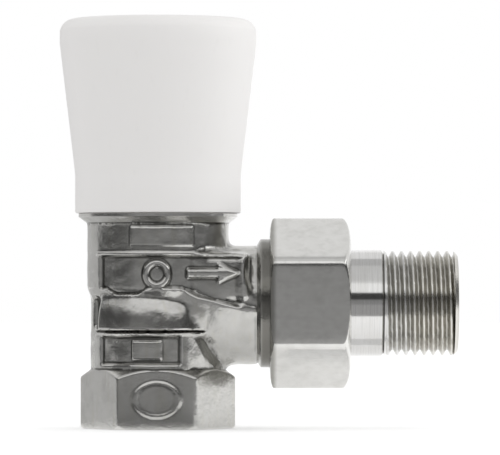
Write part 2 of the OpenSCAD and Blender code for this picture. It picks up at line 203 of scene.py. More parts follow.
def settle(made, name, body, node, finishName, sharp):
    # brings a finished piece to metres and gives it its finish and its place in the frame
    made.name = name
    made.data.transform(Matrix.Scale(1 / perMetre, 4))
    made.data.materials.clear()
    made.data.materials.append(finishes[finishName])
    made.data.shade_smooth()
    made.data.set_sharp_from_angle(angle=radians(sharp))
    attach(made, body)
    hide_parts(node)
    print(name, "made:", sum(len(p.vertices) - 2 for p in made.data.polygons), "triangles")


class Wire:
    # an output socket; arithmetic on it adds Math nodes
    def __init__(self, finish, socket):
        self.finish = finish
        self.socket = socket

    def maths(self, operation, first, second):
        return self.finish.add("ShaderNodeMath", {"operation": operation}, {0: first, 1: second})

    def __add__(self, other):
        return self.maths("ADD", self, other)

    def __radd__(self, other):
        return self.maths("ADD", other, self)

    def __sub__(self, other):
        return self.maths("SUBTRACT", self, other)

    def __rsub__(self, other):
        return self.maths("SUBTRACT", other, self)

    def __mul__(self, other):
        return self.maths("MULTIPLY", self, other)

    def __rmul__(self, other):
        return self.maths("MULTIPLY", other, self)

    def __pow__(self, other):
        return self.maths("POWER", self, other)


class Finish:
    # one material, or a world, and its nodes
    def __init__(self, name, kind=bpy.data.materials):
        self.holder = kind.new(name)
        self.holder.use_nodes = True
        self.tree = self.holder.node_tree
        self.tree.nodes.clear()

    def add(self, kind, settings=None, inputs=None, output=0):
        node = self.tree.nodes.new(kind)
        for key, value in (settings or {}).items():
            if key == "stops":
                self.setStops(node.color_ramp.elements, value)
            else:
                setattr(node, key, value)
        for key, value in (inputs or {}).items():
            if isinstance(value, Wire):
                self.tree.links.new(value.socket, node.inputs[key])
            else:
                node.inputs[key].default_value = value
        return Wire(self, node.outputs[output]) if len(node.outputs) else node

    def setStops(self, elements, stops):
        # stops are (place, grey level)
        while len(elements) > 1:
            elements.remove(elements[-1])
        for i, (spot, level) in enumerate(stops):
            stop = elements[0] if i == 0 else elements.new(spot)
            stop.position = spot
            stop.color = grey(level)

    def place(self, stretch=(1, 1, 1)):
        coords = self.add("ShaderNodeTexCoord", output="Object")
        return self.add("ShaderNodeMapping", {}, {"Vector": coords, "Scale": stretch})

    def axis(self, which):
        # one object coordinate in metres: 0 for X, 1 for Y, 2 for Z
        return self.add("ShaderNodeSeparateXYZ", {}, {0: self.place()}, which)

    def grain(self, size, detail=3.0, rough=0.55, stretch=(1, 1, 1)):
        # noise whose blobs are about size millimetres across
        inputs = {"Vector": self.place(stretch), "Scale": perMetre / size}
        inputs.update({"Detail": detail, "Roughness": rough})
        return self.add("ShaderNodeTexNoise", {}, inputs, "Fac")

    def ramp(self, value, stops):
        return self.add("ShaderNodeValToRGB", {"stops": stops}, {"Fac": value}, "Color")

    def between(self, value, start, end, kind="SMOOTHSTEP"):
        # 0 at start, 1 at end
        return self.add("ShaderNodeMapRange", {"interpolation_type": kind}, {0: value, 1: start, 2: end})

    def blend(self, amount, first, second):
        settings = {"data_type": "RGBA", "clamp_factor": True}
        return self.add("ShaderNodeMix", settings, {0: amount, 6: first, 7: second}, 2)

    def bump(self, height, depth, normal=None):
        # depth is the height in millimetres that the value 1 stands for
        inputs = {"Height": height, "Distance": depth / perMetre, "Strength": 1.0}
        if normal:
            inputs["Normal"] = normal
        return self.add("ShaderNodeBump", {}, inputs, "Normal")

    def shade(self, base, rough, normal, metallic=1.0):
        shader = self.add("ShaderNodeBsdfPrincipled", {}, {
            "Base Color": base, "Metallic": metallic, "Roughness": rough, "Normal": normal}, "BSDF")
        return self.close(shader)

    def glow(self, tone, strength=1.0):
        return self.add("ShaderNodeEmission", {}, {"Color": tone, "Strength": strength})

    def lightPath(self, *rays):
        # 1 for the rays that are named
        seen = [self.add("ShaderNodeLightPath", output=ray) for ray in rays]
        return sum(seen[1:], seen[0])

    def close(self, surface, kind="ShaderNodeOutputMaterial"):
        self.add(kind, {}, {"Surface": surface})
        return self.holder


def colour(r, g, b):
    return (r, g, b, 1.0)


def grey(level):
    return colour(level, level, level)


forgedTones = {
    "light": colour(0.60, 0.595, 0.575),
    "stain": colour(0.50, 0.495, 0.475),
    "streak": colour(0.54, 0.525, 0.46),
    "speck": colour(0.30, 0.295, 0.28),
    # painted shade for the hollows
    "hollow": colour(0.07, 0.068, 0.06),
    # painted highlight for the edges
    "edge": colour(0.84, 0.83, 0.81),
    # painted shade where the nut meets the body
    "jointShade": colour(0.13, 0.125, 0.11),
    "jointShadeStart": (0.0196, 0.0212),    # along the outlet, in metres
    "jointShadeEnd": (0.0224, 0.0232),
}


def forgedNickel():
    # plated forging: satin, slightly uneven, with painted shade in the hollows and painted highlights on the
    # edges
    t = forgedTones
    f = Finish("forged_nickel")
    broad = f.grain(5.0, 3.0)
    fine = f.grain(0.5, 4.0, 0.6)
    speck = f.grain(0.2, 2.0, 0.5)
    streak = f.grain(0.9, 3.0, 0.5, (1, 1, 0.1))
    relief = f.add("ShaderNodeAttribute", {"attribute_name": "relief"}, output="Fac")
    # painted shade: the hollows, found from the curvature
    hollow = f.ramp(relief * -1.0, [(0.08, 0.0), (0.55, 1.0)])
    # painted highlight: the edges, found from the curvature
    edge = f.ramp(relief, [(0.30, 0.0), (1.0, 1.0)])
    base = f.blend(f.ramp(broad, [(0.44, 0.0), (0.64, 1.0)]) * 0.6, t["light"], t["stain"])
    base = f.blend(f.ramp(streak, [(0.50, 0.0), (0.72, 1.0)]) * 0.35, base, t["streak"])
    base = f.blend(f.ramp(fine, [(0.58, 0.0), (0.80, 1.0)]) * 0.08, base, t["speck"])
    # painted shade darkens the hollows
    base = f.blend(hollow * 0.85, base, t["hollow"])
    # painted highlight brightens the edges
    base = f.blend(edge * 0.6, base, t["edge"])
    # painted shade where the nut is screwed on
    along = f.axis(0)
    joint = f.between(along, *t["jointShadeStart"])
    beyondJoint = f.between(along, *t["jointShadeEnd"])
    base = f.blend(joint * (1 - beyondJoint) * 0.85, base, t["jointShade"])
    normal = f.bump(fine * 0.7 + speck * 0.3, 0.022)
    normal = f.bump(f.grain(1.8, 2.0), 0.06, normal)
    return f.shade(base, 0.17 + fine * 0.06 + broad * 0.05, normal)


nutTones = {
    "light": colour(0.79, 0.785, 0.765),
    "broad": colour(0.72, 0.715, 0.69),
    "mottle": colour(0.62, 0.615, 0.59),
    # painted shade where the nut meets the body
    "jointShade": colour(0.20, 0.195, 0.17),
    "jointShadeEdge": (0.0240, 0.0228),     # along the outlet, in metres
}


def nutNickel():
    # drawn bar, turned at its ends: smooth, with faint marks along the flats and grey mottling
    t = nutTones
    f = Finish("nut_nickel")
    broad = f.grain(3.2, 4.0, 0.6)
    mottle = f.grain(1.9, 2.0, 0.5)
    marks = f.grain(0.6, 3.0, 0.5, (0.12, 1, 1))
    base = f.blend(f.ramp(broad, [(0.38, 0.0), (0.66, 1.0)]) * 0.5, t["light"], t["broad"])
    base = f.blend(f.ramp(mottle, [(0.46, 0.0), (0.70, 1.0)]) * 0.35, base, t["mottle"])
    # painted shade on the end that meets the body
    base = f.blend(f.between(f.axis(0), *t["jointShadeEdge"]) * 0.7, base, t["jointShade"])
    return f.shade(base, 0.13 + broad * 0.07 + mottle * 0.04, f.bump(mottle * 0.6 + marks * 0.4, 0.02))


tailTones = {
    "light": colour(0.77, 0.765, 0.755),
    "broad": colour(0.70, 0.69, 0.66),
    "rings": colour(0.56, 0.555, 0.54),
    "warm": colour(0.68, 0.65, 0.58),
    # painted shade for the thread roots
    "root": colour(0.34, 0.33, 0.30),
    # painted shade for the flanks that face the nut
    "shadedFlank": colour(0.38, 0.37, 0.33),
    "axisHeight": 0.025,                 # these are in metres
    "rootShadeEdge": (0.01035, 0.0094),
    "threadEdge": (0.0450, 0.0458),
    "warmEdge": (0.049, 0.053),
}


def turnedNickel():
    # turned and polished: fine rings round the outlet axis, painted shade in the thread roots and on the
    # flanks that face the nut, and a warmer tint in the thread
    t = tailTones
    f = Finish("turned_nickel")
    rings = f.grain(0.16, 2.0, 0.5, (1, 0.02, 0.02))
    broad = f.grain(3.5, 3.0)
    along, across, up = f.axis(0), f.axis(1), f.axis(2) - t["axisHeight"]
    # painted shade: the thread roots, found from the distance to the axis
    root = f.between((across * across + up * up) ** 0.5, *t["rootShadeEdge"])
    threaded = f.between(along, *t["threadEdge"], "LINEAR")
    base = f.blend(f.ramp(broad, [(0.45, 0.0), (0.7, 1.0)]) * 0.4, t["light"], t["broad"])
    base = f.blend(f.ramp(rings, [(0.42, 0.0), (0.66, 1.0)]) * 0.35, base, t["rings"])
    base = f.blend(f.between(along, *t["warmEdge"]) * 0.5, base, t["warm"])
    base = f.blend(root * threaded * 0.4, base, t["root"])
    # painted shade on the flanks that face the nut
    facing = f.add("ShaderNodeSeparateXYZ", {}, {0: f.add("ShaderNodeNewGeometry", output="Normal")}, 0)
    flankShade = f.between(facing, -0.25, -0.6)
    base = f.blend(flankShade * threaded * 0.6, base, t["shadedFlank"])
    return f.shade(base, 0.09 + broad * 0.06 + threaded * 0.12, f.bump(rings, 0.005))


def machinedBrass():
    # turned brass with fine rings round Z
    f = Finish("machined_brass")
    rings = f.grain(0.2, 2.0, 0.5, (0.04, 0.04, 1))
    broad = f.grain(4.0, 3.0)
    base = f.blend(broad, colour(0.76, 0.55, 0.24), colour(0.62, 0.43, 0.17))
    return f.shade(base, 0.22 + broad * 0.12, f.bump(rings, 0.012))


def brightSteel():
    f = Finish("bright_steel")
    broad = f.grain(1.5, 3.0)
    base = f.blend(broad, colour(0.62, 0.62, 0.63), colour(0.50, 0.50, 0.51))
    return f.shade(base, 0.22 + broad * 0.15, f.bump(f.grain(0.2), 0.008))


def softFinish(name, light, dark, rough, depth, size):
    # rubber and seal materials: dull, finely grained, a little uneven in tone
    f = Finish(name)
    broad = f.grain(3.0, 3.0)
    base = f.blend(broad, colour(*light), colour(*dark))
    return f.shade(base, rough + broad * 0.12, f.bump(f.grain(size, 3.0), depth), 0.0)


def whitePlastic():
    # moulded cap: satin white with a very fine texture and a trace of handling marks
    f = Finish("white_plastic")
    broad = f.grain(14.0, 3.0)
    fine = f.grain(0.35, 2.0, 0.5)
    scuff = f.grain(1.6, 4.0, 0.65, (1, 1, 0.35))
    base = f.blend(broad, colour(0.885, 0.872, 0.862), colour(0.865, 0.852, 0.84))
    base = f.blend(f.ramp(scuff, [(0.60, 0.0), (0.80, 1.0)]) * 0.3, base, colour(0.79, 0.775, 0.755))
    normal = f.bump(broad, 0.05, f.bump(fine, 0.006))
    return f.shade(base, 0.42 + fine * 0.08 + broad * 0.05, normal, 0.0)


softTones = {     # light and dark tone, roughness, depth of the grain and its size
    "black_rubber": ((0.035, 0.035, 0.036), (0.022, 0.022, 0.022), 0.55, 0.02, 0.25),
    "white_seal": ((0.80, 0.79, 0.76), (0.72, 0.71, 0.67), 0.45, 0.01, 0.3),
    "grey_plastic": ((0.34, 0.345, 0.355), (0.28, 0.285, 0.295), 0.42, 0.012, 0.35),
}
finishes = {
    "forged_nickel": forgedNickel(),
    "nut_nickel": nutNickel(),
    "turned_nickel": turnedNickel(),
    "machined_brass": machinedBrass(),
    "bright_steel": brightSteel(),
    "white_plastic": whitePlastic(),
}
for softName, tones in softTones.items():
    finishes[softName] = softFinish(softName, *tones)
print("finishes made:", len(finishes))


bodyBox = [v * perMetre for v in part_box("valve_body")]
bodySizes = {
    "outletHeight": 25.0,      # outlet axis above the bottom face
    "top": bodyBox[1].z,
    "hexFlats": 27.0,
    "hexHeight": 11.6,         # at the middle of a flat
    "hexRings": 42,            # rings and segments of its fine mesh
    "hexSegments": 276,
    "hexRoot": 0.4,            # how far it reaches up into the column
    "crownSlope": 0.75,
    "footSlope": 1.2,
    "edgePowers": (150, 130),  # the higher, the sharper: upright edges and foot, crown
    "ovalHeight": 5.9,         # plain rim on the front and the back flat
    "ovalStretch": 1.45,
    "ovalRim": (3.0, 3.6),
    "lowerRadius": 13.5,
    "waistRadius": 13.4,
    "columnRadius": 14.15,
    # foot, both ends of the lower part, of the waist and of the upper part, top
    "columnHeights": (8.5, 12.4, 19.0, 19.8, 26.2, 27.9, 41.0, 41.8),
    "collarRadii": (13.9, 14.3, 15.7, 15.92, 15.82),
    "collarHeights": (40.4, 41.1),
    "pocket": ((13.15, 9.1, 23.2), (3.9, 10.0, 6.6)),    # place and size
    "neckRadius": 11.55,
    "neckEnd": 20.4,
    "elbowCentre": 31.0,       # of the tall oval that is the lower part of the elbow
    "elbowWidth": 13.2,
    "elbowLow": 12.3,
    "elbowEnd": 19.8,
    "elbowTaper": 0.975,
    "elbowCut": (12.5, 25.7, 15),                        # x, z and slope of its upper side
    "web": ((9.2, 0, 30.4), (18.4, 24.8, 9.4)),
    "voxel": 0.43,
    "spigotStart": ((10.9, 19.4), (12.6, 20.4), (12.85, 20.6), (12.85, 22.4), (12.1, 22.55)),
    "spigotRadius": 13.22,
    "spigotThread": (22.7, bodyBox[1].x - 0.3),
    "spigotDepth": 1.0,
    "spigotEnd": bodyBox[1].x,
    "inletRadius": 9.315,
    "inletThread": (0.9, 13.4),
    "inletDepth": 1.05,
    "inletEnd": 14.4,
    "seatRadius": 5.5,
    "seatTop": 19.0,
    "chamberRadius": 10.0,
    "chamberLow": 17.6,
    "threadRadius": 11.0,
    "threadLow": 34.0,
    "outletRadius": 7.0,
    "mouthRadius": 11.02,
}
softened = (                   # x range, z range and rounds of smoothing of the plain shape
    ((-99.0, 99.0), (-99.0, 99.0), 2),
    ((6.5, 18.5), (12.0, 40.5), 4),
    ((9.5, 17.5), (33.0, 40.0), 22),
    ((9.5, 17.5), (10.5, 17.0), 22),
)
struckZone = {                 # where the dies press, and where the mesh is fine enough for it
    "heights": (11.4, 41.0),
    "reach": 20.0,
    "away": (2.5, 5.0),        # from the middle plane: nothing is pressed nearer, all of it beyond
    "fineHeights": (12.2, 40.6),
    "fineReach": 19.4,
    "fineAway": 3.5,
    "plainCorner": (12.5, 22.5),
    "ledge": ((-2.0, 19.0), (22.5, 28.4), 5),    # smoothed again: x range, z range and rounds
}
unevenness = (0.06, 0.45)      # height of a struck forging's waves, and how many there are to a millimetre


def joinShapes(shapes, name):
    joined = bmesh.new()
    for shape in shapes:
        joined.from_mesh(shape.data)
        bpy.data.objects.remove(shape)
    return meshObject(joined, name)


def makeColumn():
    s = bodySizes
    low, waist, high = s["lowerRadius"], s["waistRadius"], s["columnRadius"]
    foot, lowFrom, lowTo, waistFrom, waistTo, highFrom, highTo, top = s["columnHeights"]
    column = meshObject(lathe([
        (0, foot), (low - 0.2, foot), (low, lowFrom), (low, lowTo), (waist, waistFrom), (waist, waistTo),
        (high, highFrom), (high, highTo), (high + 0.5, top), (0, top)], 160), "column")
    # pockets at the left of the waist, where the dies meet
    pockets = bmesh.new()
    (x, y, z), size = s["pocket"]
    for side in (-1, 1):
        addBlock(pockets, (-x, side * y, z), size)
    return combine(column, meshObject(pockets, "pockets"), "DIFFERENCE")


def makeElbow():
    # a tall oval that runs to the outlet, cut off along a slope a little above the axis
    s = bodySizes
    elbow = bmesh.new()
    bmesh.ops.create_cone(elbow, cap_ends=True, segments=128, radius1=1.0, radius2=s["elbowTaper"],
                          depth=s["elbowEnd"])
    place = Matrix.Translation((s["elbowEnd"] / 2, 0, s["elbowCentre"]))
    oval = place @ Matrix.Diagonal((1, s["elbowWidth"], s["elbowCentre"] - s["elbowLow"], 1))
    bmesh.ops.transform(elbow, matrix=oval @ Matrix.Rotation(pi / 2, 4, "Y"), verts=elbow.verts)
    x, z, slope = s["elbowCut"]
    bmesh.ops.bisect_plane(elbow, geom=elbow.verts[:] + elbow.edges[:] + elbow.faces[:], plane_co=(x, 0, z),
                           plane_no=(sin(radians(slope)), 0, cos(radians(slope))), clear_outer=True)
    bmesh.ops.holes_fill(elbow, edges=[e for e in elbow.edges if e.is_boundary])
    bmesh.ops.recalc_face_normals(elbow, faces=elbow.faces)
    return meshObject(elbow, "elbow")


def softShapes():
    # the closed shapes that the struck part of the forging is built from
    s = bodySizes
    profile = [(0, 0), (s["neckRadius"], 0), (s["neckRadius"], s["neckEnd"]), (0, s["neckEnd"])]
    neck = meshObject(lathe(profile, 128, s["outletHeight"]), "neck")
    # the web between the column and the neck, flat in front and behind
    web = bmesh.new()
    addBlock(web, *s["web"])
    bmesh.ops.bevel(web, geom=web.edges[:], offset=1.0, affect="EDGES", segments=3, profile=0.5, material=-1)
    return [makeColumn(), neck, makeElbow(), meshObject(web, "web")]


def inletHexagon():
    # a finely meshed round, drawn in to the hexagon, its crown and its foot with softly rounded edges
    s = bodySizes
    corner = s["hexFlats"] / sqrt(3)
    drop = (corner - s["hexFlats"] / 2) * s["crownSlope"]
    rings = s["hexRings"]
    top = s["hexHeight"] + s["hexRoot"]
    heights = [0.05] + [0.2 + (top - 0.2) * i / rings for i in range(rings + 1)]
    profile = [(0, 0.0), (corner - 0.6, 0.0)] + [(corner, z) for z in heights] + [(0, heights[-1])]
    bm = lathe(profile, s["hexSegments"])
    upright, crowned = s["edgePowers"]
    for v in bm.verts:
        x, y, z = v.co
        r = hypot(x, y)
        if r < 1:
            continue
        crown = corner + 0.25 - max(0.0, z - (s["hexHeight"] - drop)) / s["crownSlope"]
        foot = corner - 0.45 + z * s["footSlope"]
        wanted = softLeast(softHexagon(atan2(y, x), s["hexFlats"], upright), crown, crowned)
        wanted = softLeast(wanted, foot, upright)
        if z < 0.01:
            wanted = min(r, wanted - 0.1)
        drawIn(v, wanted)
        # a plain oval rim on the front and the back flat
        if abs(y) > 11.5 and abs(x) < 7.2:
            away = hypot(x / s["ovalStretch"], z - s["ovalHeight"])
            lift = 0.26 * window(away, s["ovalRim"], 0.4) + 0.10 * (1 - rise(2.9, 3.1, away))
            v.co.y += lift if y > 0 else -lift
    return meshObject(bm, "hexagon")


def crispShapes():
    # the sharper parts of the body: inlet hexagon, collar and the turned end of the neck
    s = bodySizes
    top, radius = s["top"], s["spigotRadius"]
    root, neck, flare, rim, face = s["collarRadii"]
    foot, bend = s["collarHeights"]
    collar = meshObject(lathe(tight([
        (0, foot), (root, foot), (neck, bend), (flare, top - 0.85), (rim, top - 0.72),
        (rim, top - 0.1), (face, top), (0, top)]), 160), "collar")
    low, high = s["spigotThread"]
    wall = [(radius, low + (high - low) * i / 54) for i in range(55)]
    start = [(0, s["spigotStart"][0][1]), *s["spigotStart"]]
    spigot = lathe(tight(start) + wall + [(radius - 0.7, s["spigotEnd"]), (0, s["spigotEnd"])], 96)
    cutThread(spigot, radius, s["spigotDepth"], low, high, 0.7)
    layAlongOutlet(spigot, s["outletHeight"])
    return [inletHexagon(), collar, meshObject(spigot, "spigot")]


# what the dies press into the front and the back, in millimetres: x, z and height
dieSizes = {
    "barEnds": ((-11.4, -10.6), (9.2, 10.4)),
    "barFoot": (20.0, 0.24),             # height of its lower edge, and its fall towards the outlet
    "barHeight": (1.45, 0.85, 7.0),      # at the left, less over the elbow, and its reach upwards
    "underEnds": ((-12.4, -12.0), (8.6, 9.8)),
    "groove": ((19.25, 19.58), -0.50),
    "ledge": ((18.72, 19.22), 0.28),
    "lowPanel": ((-11.2, 4.8), (12.9, 18.45), -0.60),
    "lowTablet": ((-5.0, 1.0), (13.9, 17.5), 0.30),
    "facet": ((5.6, 7.5), (10.5, 12.5), 18.4, -0.09),
    "valley": ((8.9, 10.9), (11.5, 18.6), 0.72, -0.45),
    "highPanel": ((-11.6, -11.2), (15.6, 17.4), 28.0, 34.5, -0.75),
    "hollow": ((18.1, 31.6), (1.2, 3.6), -0.8),
    "ringPad": ((0.0, 30.8), (1.7, 2.8), 0.60, 0.22),    # centre, radii, height of the rim and of the middle
    "arrow": (6.2, 16.4, 31.0, 0.85, 0.7),               # tail, tip, level, half width and height
    "bandEdge": ((-12.0, 15.0), (34.5, 35.2), 0.22),
    "bandTablet": ((-5.2, 7.2), (36.4, 40.2), 0.25),
}


def pressArrow(x, z):
    # flow arrow, slightly domed
    tail, tip, level, halfWidth, raised = dieSizes["arrow"]
    if not tail - 0.5 < x < tip:
        return 0.0
    half = halfWidth if x < tip - 4.2 else (tip - x) * 0.46
    dome = 1 - 0.35 * min(1.0, (z - level) ** 2)
    sides = 1 - rise(half - 0.2, half + 0.25, abs(z - level))
    return raised * dome * sides * rise(tail - 0.3, tail + 0.1, x)


def pressFront(x, z):
    # how far the forging stands out of (or sinks into) its plain shape, over the front and the back
    d = dieSizes

    def between(start, end):
        return rise(*start, x) * (1 - rise(*end, x))

    def plate(name, softX, softZ):
        spanX, spanZ, raised = d[name]
        return raised * window(x, spanX, softX) * window(z, spanZ, softZ)

    # rounded bar over the waist; it falls towards the outlet, thins over the elbow and has a round end
    foot, fall = d["barFoot"]
    raised, less, reach = d["barHeight"]
    bar = max(0.0, 1 - (max(0.0, z - foot + fall * max(0.0, x + 3.0)) / reach) ** 2) * rise(19.5, 19.75, z)
    left, right = d["barEnds"]
    height = (raised - less * rise(4.0, 8.5, x)) * bar * rise(*left, x) * (
        1 - rise(*right, x + 0.05 * (z - 22.5) ** 2))
    # groove and thin ledge under it
    for name in ("groove", "ledge"):
        span, raised = d[name]
        height += raised * window(z, span, 0.22) * between(*d["underEnds"])
    # lower panel with a plain tablet
    height += plate("lowPanel", 0.35, 0.3) + plate("lowTablet", 0.3, 0.3)
    # slanted facet to the right of it, and the valley between it and the elbow
    start, end, top, slope = d["facet"]
    height += slope * max(0.0, top - z) * between(start, end)
    spanX, spanZ, lean, raised = d["valley"]
    height += raised * window(x + lean * (z - 17.0), spanX, 2.6) * window(z, spanZ, 1.4)
    # upper panel, its lower edge dipping towards the left and following the elbow at the right
    start, end, low, high, raised = d["highPanel"]
    low -= 1.2 * window(x, (-9.4, -2.8), 3.0) + 1.8 * rise(4.5, 9.0, x) + 0.27 * max(0.0, x - 9.0)
    high -= 0.3 * rise(2, 14, x)
    height += raised * between(start, end) * window(z, (low, high), 0.32)
    # hollow beside the neck
    (middle, level), (wide, tall), raised = d["hollow"]
    height += raised * (1 - rise(0.2, 1.0, hypot((x - middle) / wide, (z - level) / tall)))
    # ring pad
    (middle, level), (inner, outer), raised, floor = d["ringPad"]
    away = hypot(x - middle, z - level)
    height += raised * window(away, (inner, outer), 0.5) + floor * (1 - rise(inner - 0.5, inner, away))
    # the edge of the band above the panel stands a little proud, and a plain tablet lies on the band
    return height + pressArrow(x, z) + plate("bandEdge", 0.8, 0.35) + plate("bandTablet", 0.35, 0.35)


def relax(bm, verts, rounds):
    for _ in range(rounds):
        bmesh.ops.smooth_vert(bm, verts=verts, factor=0.5, use_axis_x=True, use_axis_y=True, use_axis_z=True)


def forgeBody():
    # the plain shapes joined, blended, struck by the dies, and united with the sharper ones
    s = bodySizes
    body = joinShapes(softShapes(), "forged_body")
    remesh = body.modifiers.new("remesh", "REMESH")
    remesh.mode = "VOXEL"
    remesh.voxel_size = s["voxel"]
    remesh.adaptivity = 0.0
    applyModifiers(body)
    bm = bmesh.new()
    bm.from_mesh(body.data)
    for (left, right), (low, high), rounds in softened:
        relax(bm, [v for v in bm.verts if left < v.co.x < right and low < v.co.z < high], rounds)
    # finer mesh where the dies' details are
    zone = struckZone
    low, high = zone["fineHeights"]
    cornerLeft, cornerTop = zone["plainCorner"]
    detail = set()
    for f in bm.faces:
        x, y, z = f.calc_center_median()
        inside = abs(y) > zone["fineAway"] and low < z < high and x < zone["fineReach"]
        if inside and not (x > cornerLeft and z < cornerTop):
            detail.update(f.edges)
    bmesh.ops.subdivide_edges(bm, edges=list(detail), cuts=1, use_grid_fill=True)
    low, high = zone["heights"]
    near, full = zone["away"]
    reach = zone["reach"]
    struck = [v for v in bm.verts if low <= v.co.z <= high and abs(v.co.y) >= near and v.co.x <= reach]
    for v in struck:
        x, y, z = v.co
        # outwards from the column, and straight to the front or the back beside it
        turn = rise(3.0, 8.0, x)
        side = -1 if y < 0 else 1
        out = Vector((x, y, 0)).normalized() * (1 - turn) + Vector((0, side, 0)) * turn
        v.co += out.normalized() * pressFront(x, z) * rise(near, full, abs(y))
    relax(bm, struck, 1)
    # the ledge over the elbow runs softly into the panel above it
    (left, right), (low, high), rounds = zone["ledge"]
    ledge = [v for v in struck if left < v.co.x < right and low < v.co.z < high and abs(v.co.y) > full]
    relax(bm, ledge, rounds)
    bm.normal_update()
    height, waves = unevenness
    for v in bm.verts:
        v.co += v.normal * height * noise.noise(v.co * waves)
    bm.to_mesh(body.data)
    bm.free()
    print("forging struck:", len(body.data.polygons), "faces")
    return combine(body, joinShapes(crispShapes(), "crisp"), "UNION")


def cutThread(bm, radius, depth, low, high, fade=0.8):
    # moves the points of a turned wall round Z so that a screw thread stands on it
    # a depth below 0 cuts outwards
    for v in bm.verts:
        x, y, z = v.co
        r = hypot(x, y)
        if abs(r - radius) > 0.02 or z < low - 1e-6 or z > high + 1e-6:
            continue
        phase = ((z - low) / pipePitch - atan2(y, x) / (2 * pi)) % 1.0
        tooth = min(max(abs(phase - 0.5) * 2.9 - 0.25, 0.0), 1.0)   # 0 on the crest, 1 in the root
        drawIn(v, r - depth * tooth * rise(low - 0.01, low + fade, z))


def boreBody(body):
    # inlet with its thread, seat, chamber and headwork thread, and the outlet
    s = bodySizes
    inlet, seat, chamber, thread = s["inletRadius"], s["seatRadius"], s["chamberRadius"], s["threadRadius"]
    low, high = s["inletThread"]
    wall = [(inlet, low + (high - low) * i / 56) for i in range(57)]
    drill = lathe([(0, -1), (inlet + 2.2, -1), (inlet + 1.2, 0.0)] + wall + [
        (inlet - 1, s["inletEnd"]), (seat, s["inletEnd"]), (seat, s["seatTop"]),
        (seat + 1.4, s["seatTop"]), (seat + 1.4, s["chamberLow"]), (chamber, s["chamberLow"]),
        (chamber, s["threadLow"]), (thread, s["threadLow"]), (thread, 45), (0, 45)], 96)
    cutThread(drill, inlet, -s["inletDepth"], low, high)
    end, mouth, bore = s["spigotEnd"], s["mouthRadius"], s["outletRadius"]
    outlet = lathe([(0, 1), (bore, 1), (bore, end - (mouth - bore) / 0.9), (mouth, end),
                    (mouth + 0.9, end + 1), (0, end + 1)], 96, s["outletHeight"])
    cutter = combine(meshObject(drill, "drill"), meshObject(outlet, "outlet"), "UNION")
    return combine(body, cutter, "DIFFERENCE")


body = clean(boreBody(forgeBody()))
body.data.shade_smooth()
markRelief(body.data)
settle(body, "body_forging", "valve", "valve_body", "forged_nickel", 42)


nutBox = [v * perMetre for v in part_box("union_nut")]
nutSizes = {
    "start": nutBox[0].x,
    "end": nutBox[1].x,
    "flats": 30.0,
    "cornerPower": 42,         # the higher, the sharper the long edges
    "endPower": 140,
    "near": (1.4, 13.3),       # length of the rounded end, and its least radius
    "far": (2.7, 12.5),
    "threadRadius": 13.27,
    "shoulder": 35.4,
    "boreRadius": 10.95,
}


def makeNut():
    # a turned blank whose outside is drawn in to the hexagon and its rounded ends
    s = nutSizes
    start, end, bore, thread = s["start"], s["end"], s["boreRadius"], s["threadRadius"]
    nearLength, nearRadius = s["near"]
    farLength, farRadius = s["far"]
    near = [start + nearLength * (1 - cos(radians(90) * i / 12)) for i in range(13)]
    far = [end - farLength * (1 - cos(radians(90) * i / 16)) for i in range(16, -1, -1)]
    blank = s["flats"] / sqrt(3) + 1
    mouth = [(bore, s["shoulder"]), (thread, s["shoulder"]), (thread, start + 0.4), (thread + 0.2, start)]
    back = [(bore + 0.6, end), (bore, end - 0.6), (bore, s["shoulder"])]
    bm = lathe(tight(mouth) + [(blank, x) for x in near + far] + tight(back), 240)

    def rounded(wanted, radius, into):
        # into runs from 0 where the rounding begins to 1 at the end face
        swell = sqrt(max(0.0, 1 - into * into))
        return softLeast(wanted, radius + (blank - 0.7 - radius) * swell + 0.05, s["endPower"])

    for v in bm.verts:
        x, y, z = v.co
        if hypot(x, y) < blank - 0.1:
            continue
        wanted = softHexagon(atan2(y, x), s["flats"], s["cornerPower"])
        left = (start + nearLength - z) / nearLength
        right = (z - end + farLength) / farLength
        if left > 0:
            wanted = rounded(wanted, nearRadius, left)
        if right > 0:
            wanted = rounded(wanted, farRadius, right)
        drawIn(v, wanted)
    bmesh.ops.recalc_face_normals(bm, faces=bm.faces)
    layAlongOutlet(bm, bodySizes["outletHeight"])
    return meshObject(bm, "nut")


settle(makeNut(), "nut_hexagon", "nut", "union_nut", "nut_nickel", 40)


tailBox = [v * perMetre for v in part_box("tailpiece")]
tailSizes = {
    "noseStart": tailBox[0].x,
    "end": tailBox[1].x,
    "noseRadii": (8.4, 10.92, 31.2),     # at its start, where it is full, and where that is
    "collarRadius": 12.92,
    "collar": (31.3, 35.35),
    "plainRadius": 10.65,
    "threadRadius": 10.4775,
    "threadStart": 45.2,
    "threadDepth": 1.16,
    "boreRadius": 6.9,
    "keyFlats": 12.0,
    "keyDepth": 10.0,
}


